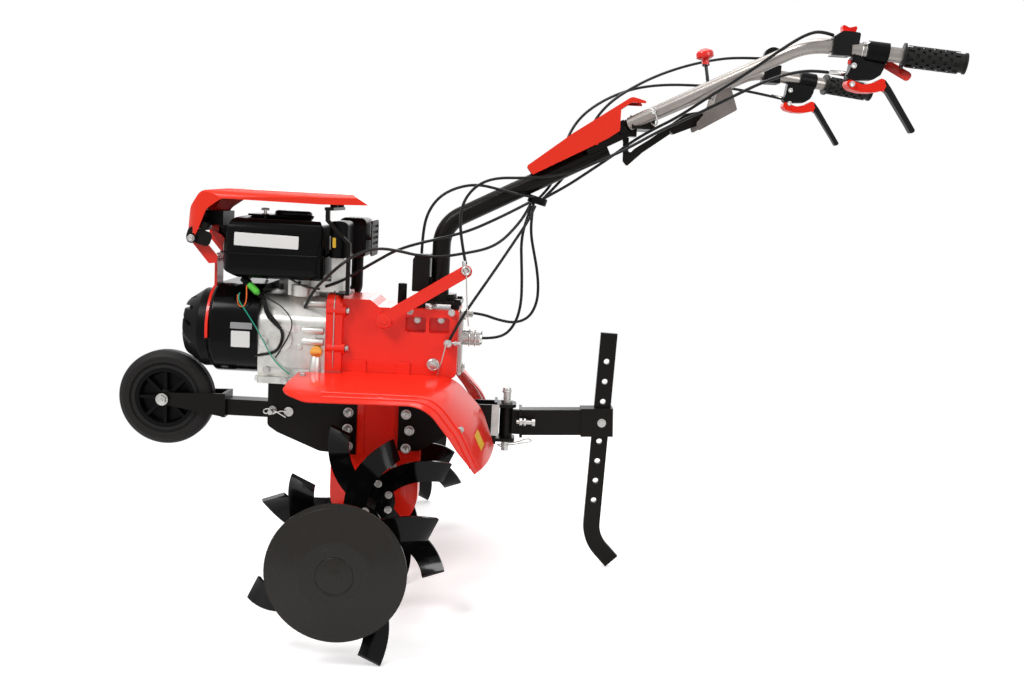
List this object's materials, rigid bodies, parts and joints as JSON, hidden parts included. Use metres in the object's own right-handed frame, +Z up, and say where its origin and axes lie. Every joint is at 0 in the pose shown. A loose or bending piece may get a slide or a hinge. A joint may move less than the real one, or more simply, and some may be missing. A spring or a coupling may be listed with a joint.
{
  "type": "garden tiller",
  "caption": "Walk-behind garden tiller: petrol engine on a gearbox and drive leg, tines on a cross axle, drag stake, folding transport wheel and adjustable handlebar.",
  "frame": {"origin": "middle of the whole machine's outline, on the ground it stands on", "axes": "+X forward, towards the engine and transport wheel; +Y to the operator's left; +Z up"},
  "size_m": [1.6526, 1.094, 1.1237],
  "materials": {
    "black_paint": "satin powder coat",
    "black_plastic": "moulded plastic",
    "cable_rubber": "plastic jacket",
    "cast_aluminium": "bead-blasted casting",
    "dark_steel": "heat-resistant paint",
    "gloss_black": "gloss stove enamel",
    "grey_tube": "grey metallic paint",
    "red_paint": "gloss powder coat",
    "red_plastic": "gloss moulded plastic",
    "rubber": "moulded rubber",
    "tine_enamel": "dipped gloss enamel",
    "tyre": "solid rubber",
    "zinc_steel": "zinc plated"
  },
  "bodies": {
    "chassis": {"air_cleaner": "black_plastic", "arm_bolt": "zinc_steel", "cable_choke": "cable_rubber", "cable_clutch": "cable_rubber", "cable_gear": "cable_rubber", "cable_governor": "cable_rubber", "cable_latch": "cable_rubber", "cable_selector": "cable_rubber", "carburettor": "cast_aluminium", "clutch_arm": "red_paint", "column_base": "black_paint", "crankcase": "cast_aluminium", "cylinder": "cast_aluminium", "drive_leg": "red_paint", "fan_shroud": "gloss_black", "fender_left": "red_paint", "fender_right": "red_paint", "filler_cap": "gloss_black", "front_bracket": "black_paint", "fuel_tank": "gloss_black", "gearbox": "red_paint", "hitch_pin": "zinc_steel", "hood_arms": "red_paint", "hood_post": "black_paint", "lock_pin": "zinc_steel", "muffler": "dark_steel", "rear_bracket": "black_paint", "recoil_starter": "black_plastic", "selector_housing": "zinc_steel"},
    "rotor": {"guard_discs": "gloss_black", "tine_axle": "black_paint", "tine_sets_left": "tine_enamel", "tine_sets_right": "tine_enamel"},
    "hood": {"hood": "red_plastic", "headlamp": "black_plastic"},
    "arm": {"wheel_arm": "black_paint"},
    "wheel": {"wheel_rim": "black_plastic", "tyre": "tyre"},
    "hitch": {"hitch_bar": "black_paint", "drag_stake": "black_paint", "stake_pin": "zinc_steel"},
    "column": {"column": "black_paint", "handle_cover": "red_plastic", "cable_column": "cable_rubber"},
    "handle": {"handle_yoke": "black_paint", "handle_tubes": "grey_tube", "grips": "rubber", "lever_brackets": "black_plastic", "clutch_levers": "red_plastic", "lock_lever": "black_paint", "control_plate": "grey_tube", "gear_lever": "red_plastic", "engine_switch": "black_plastic", "throttle": "black_plastic", "cable_clutch_upper": "cable_rubber", "cable_throttle": "cable_rubber", "cable_switch": "cable_rubber", "cable_lever": "cable_rubber"}
  },
  "joints": [
    {"name": "tine_spin", "type": "hinge", "parent": "chassis", "child": "rotor", "pos_m": [0.2884, 0, 0.16829], "axis": [0, 1, 0], "continuous": true},
    {"name": "arm_swing", "type": "hinge", "parent": "chassis", "child": "arm", "pos_m": [0.46336, 0, 0.34569], "axis": [0, 1, 0], "range_deg": [0, 85]},
    {"name": "wheel_spin", "type": "hinge", "parent": "arm", "child": "wheel", "pos_m": [0.72631, 0, 0.37249], "axis": [0, 1, 0], "continuous": true},
    {"name": "column_swivel", "type": "hinge", "parent": "chassis", "child": "column", "pos_m": [0.14737, 0, 0.58548], "axis": [-0.0523, 0, 0.9986], "range_deg": [-25, 25], "deforming": ["cable_clutch", "cable_choke", "cable_governor", "cable_latch", "cable_selector", "cable_gear"]},
    {"name": "handle_tilt", "type": "hinge", "parent": "column", "child": "handle", "pos_m": [-0.23003, 0, 0.9272], "axis": [0, 1, 0], "range_deg": [-18, 18], "deforming": ["cable_clutch_upper", "cable_throttle", "cable_switch", "cable_lever"]},
    {"name": "hitch_swing", "type": "hinge", "parent": "chassis", "child": "hitch", "pos_m": [0.00814, 0, 0.31883], "axis": [-0.0523, 0, 0.9986], "range_deg": [-12, 12]},
    {"name": "hood_open", "type": "hinge", "parent": "chassis", "child": "hood", "pos_m": [0.63601, 0, 0.71023], "axis": [0, 1, 0], "range_deg": [0, 70]}
  ]
}
